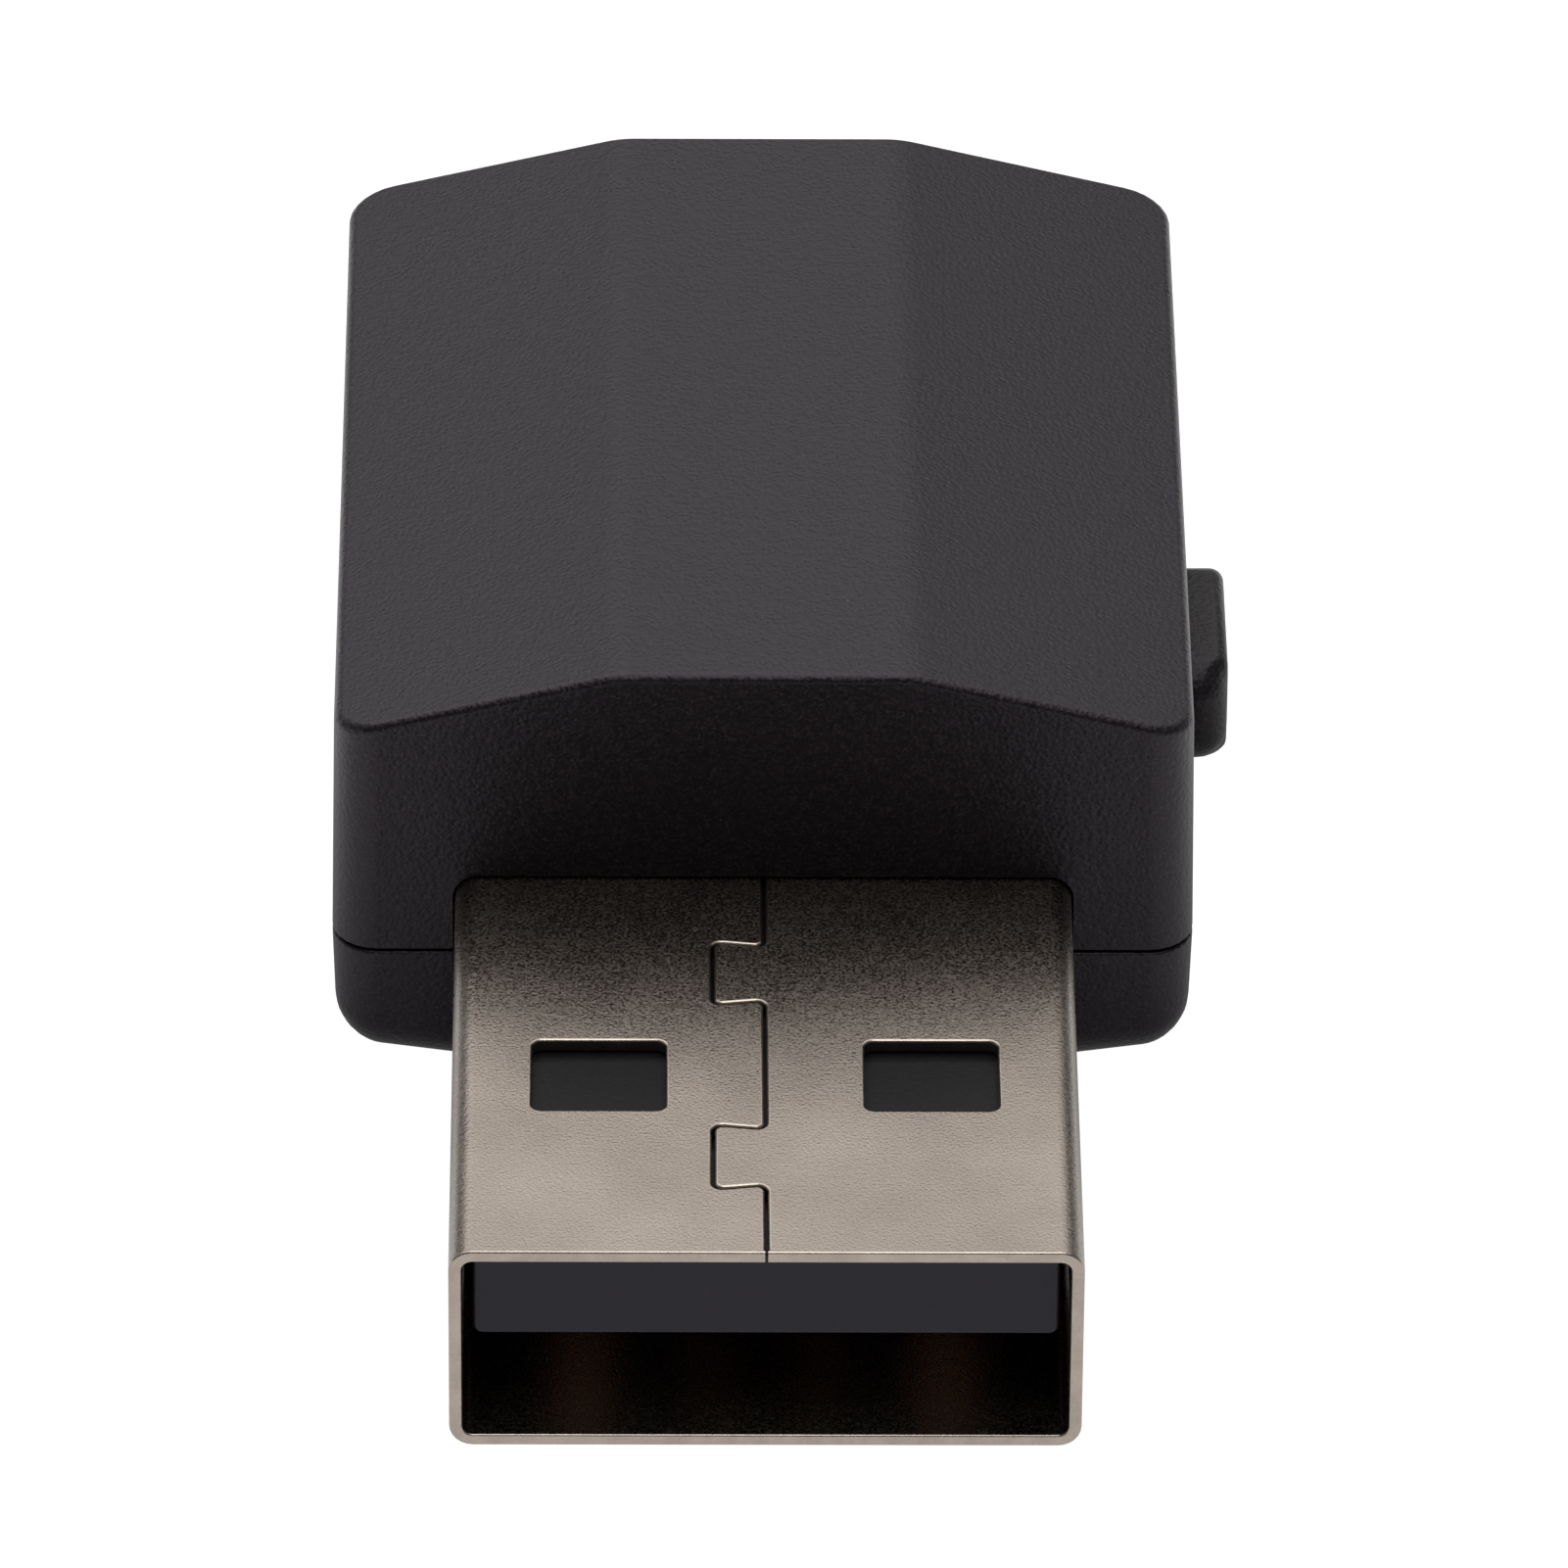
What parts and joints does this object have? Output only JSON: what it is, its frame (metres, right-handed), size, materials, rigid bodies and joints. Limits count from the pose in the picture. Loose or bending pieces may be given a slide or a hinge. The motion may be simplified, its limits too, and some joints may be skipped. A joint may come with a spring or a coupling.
{
  "type": "usb wifi adapter",
  "caption": "Short USB adapter: a facetted two-shell plastic body with a standard-A plug at the front and a sprung pairing button on its right side.",
  "frame": {"origin": "middle of the flat strip of the underside, on the body's centre line", "axes": "-Y along the plug towards its tip, +Z from the underside to the facetted top, +X towards the side with the button"},
  "size_m": [0.0177, 0.0326, 0.0098],
  "materials": {
    "black_plastic": "fine spark-eroded texture, satin black",
    "insulator": "smooth black glass-filled moulding",
    "nickel_steel": "nickel-plated steel, fine grain",
    "gold_contact": "gold-plated copper alloy",
    "laminate": "green solder mask",
    "moulding": "epoxy moulding",
    "tin": "tin-plated sheet",
    "spring_steel": "rolled spring steel",
    "ferrite": "sintered ferrite",
    "ceramic": "fired dielectric with tinned ends",
    "copper_alloy": "stamped sheet"
  },
  "bodies": {
    "housing": {"upper_shell": "black_plastic", "lower_shell": "black_plastic", "plug_shell": "nickel_steel", "plug_insulator": "insulator", "contact_vbus": "gold_contact", "contact_data_minus": "gold_contact", "contact_data_plus": "gold_contact", "contact_ground": "gold_contact", "circuit_board": "laminate", "rf_shield": "tin", "wifi_chip": "moulding", "crystal": "tin", "rf_front_end": "moulding", "voltage_regulator": "moulding", "power_inductor": "ferrite", "surge_protector": "moulding", "memory_chip": "moulding", "antenna": "copper_alloy", "capacitor_1": "ceramic", "capacitor_2": "ceramic", "capacitor_3": "ceramic", "capacitor_4": "ceramic", "resistor_1": "moulding", "resistor_2": "moulding", "resistor_3": "moulding", "switch_housing": "insulator", "switch_cover": "tin", "switch_dome": "spring_steel"},
    "button": {"pairing_button": "black_plastic"},
    "plunger": {"switch_plunger": "moulding"}
  },
  "joints": [
    {"name": "button_press", "type": "slide", "parent": "housing", "child": "button", "axis": [-1, 0, 0], "range_m": [0, 0.0003], "stiffness_N_per_m": 3000, "springref_m": -0.0002},
    {"name": "plunger_slide", "type": "slide", "parent": "housing", "child": "plunger", "axis": [-1, 0, 0], "range_m": [0, 0.0003]}
  ],
  "couplings": [
    {"joint": "plunger_slide", "follows": "button_press", "ratio": 1}
  ]
}
